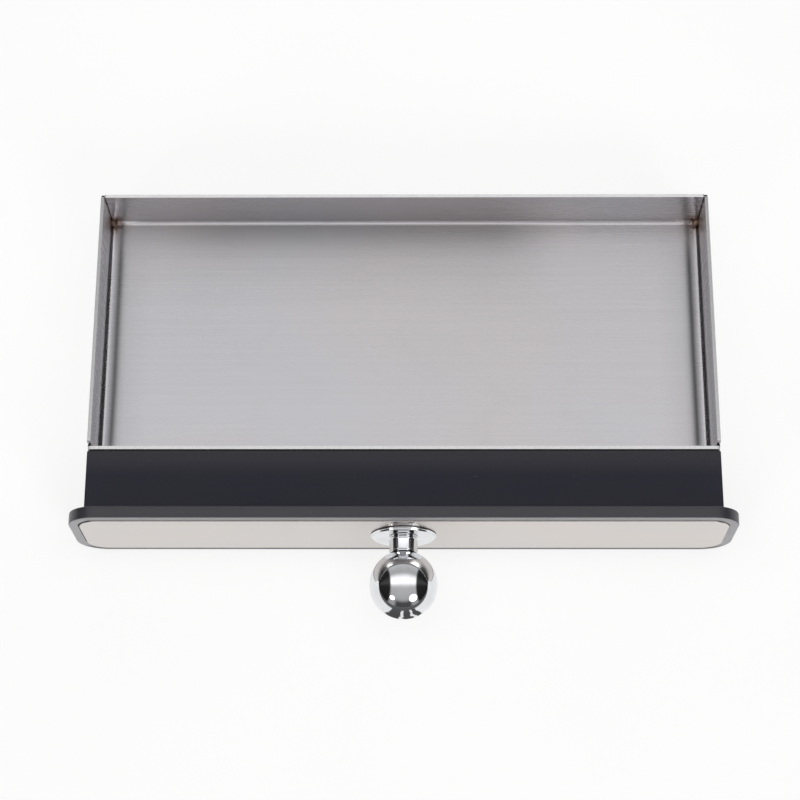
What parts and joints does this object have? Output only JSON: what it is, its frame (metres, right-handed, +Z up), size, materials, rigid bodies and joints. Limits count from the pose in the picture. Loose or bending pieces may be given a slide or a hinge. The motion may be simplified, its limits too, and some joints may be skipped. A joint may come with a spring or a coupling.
{
  "type": "pull-out tray",
  "caption": "Shallow folded steel tray with a black spacer block, a black-edged brushed front plate and a chrome ball knob to pull it by.",
  "frame": {"origin": "under the middle of the object's box, level with the bezel's lower edge", "axes": "+X along the width, +Z up, knob towards -Y and pan towards +Y"},
  "size_m": [0.2936, 0.1978, 0.05],
  "materials": {
    "brushed_sheet": "brushed along the width",
    "weld_metal": "heat-tinted weld bead",
    "black_block": "satin moulded",
    "black_bezel": "satin",
    "brushed_plate": "brushed along the width",
    "tape": "matte foam tape",
    "chrome": "polished",
    "brass": "turned",
    "screw_steel": "satin stainless"
  },
  "bodies": {
    "tray": {"tray_pan": "brushed_sheet", "weld_rear_left": "weld_metal", "weld_rear_right": "weld_metal", "weld_front_left": "weld_metal", "weld_front_right": "weld_metal", "front_block": "black_block", "bezel_frame": "black_bezel", "face_plate": "brushed_plate", "tape_upper": "tape", "tape_lower": "tape", "bezel_screw_1": "screw_steel", "bezel_screw_2": "screw_steel", "bezel_screw_3": "screw_steel", "bezel_screw_4": "screw_steel", "bezel_insert_1": "brass", "bezel_insert_2": "brass", "bezel_insert_3": "brass", "bezel_insert_4": "brass", "tray_screw_1": "screw_steel", "tray_screw_2": "screw_steel", "tray_screw_3": "screw_steel", "tray_screw_4": "screw_steel", "tray_washer_1": "screw_steel", "tray_washer_2": "screw_steel", "tray_washer_3": "screw_steel", "tray_washer_4": "screw_steel", "tray_insert_1": "brass", "tray_insert_2": "brass", "tray_insert_3": "brass", "tray_insert_4": "brass", "knob_rose": "chrome", "knob_collar": "chrome", "knob_screw": "screw_steel", "knob_washer": "screw_steel", "knob_spring_washer": "screw_steel"},
    "knob": {"knob_neck": "chrome", "knob_ball": "chrome"}
  },
  "joints": [
    {"name": "knob_turn", "type": "hinge", "parent": "tray", "child": "knob", "pos_m": [0, -0.0838, 0.025], "axis": [0, -1, 0], "continuous": true}
  ]
}
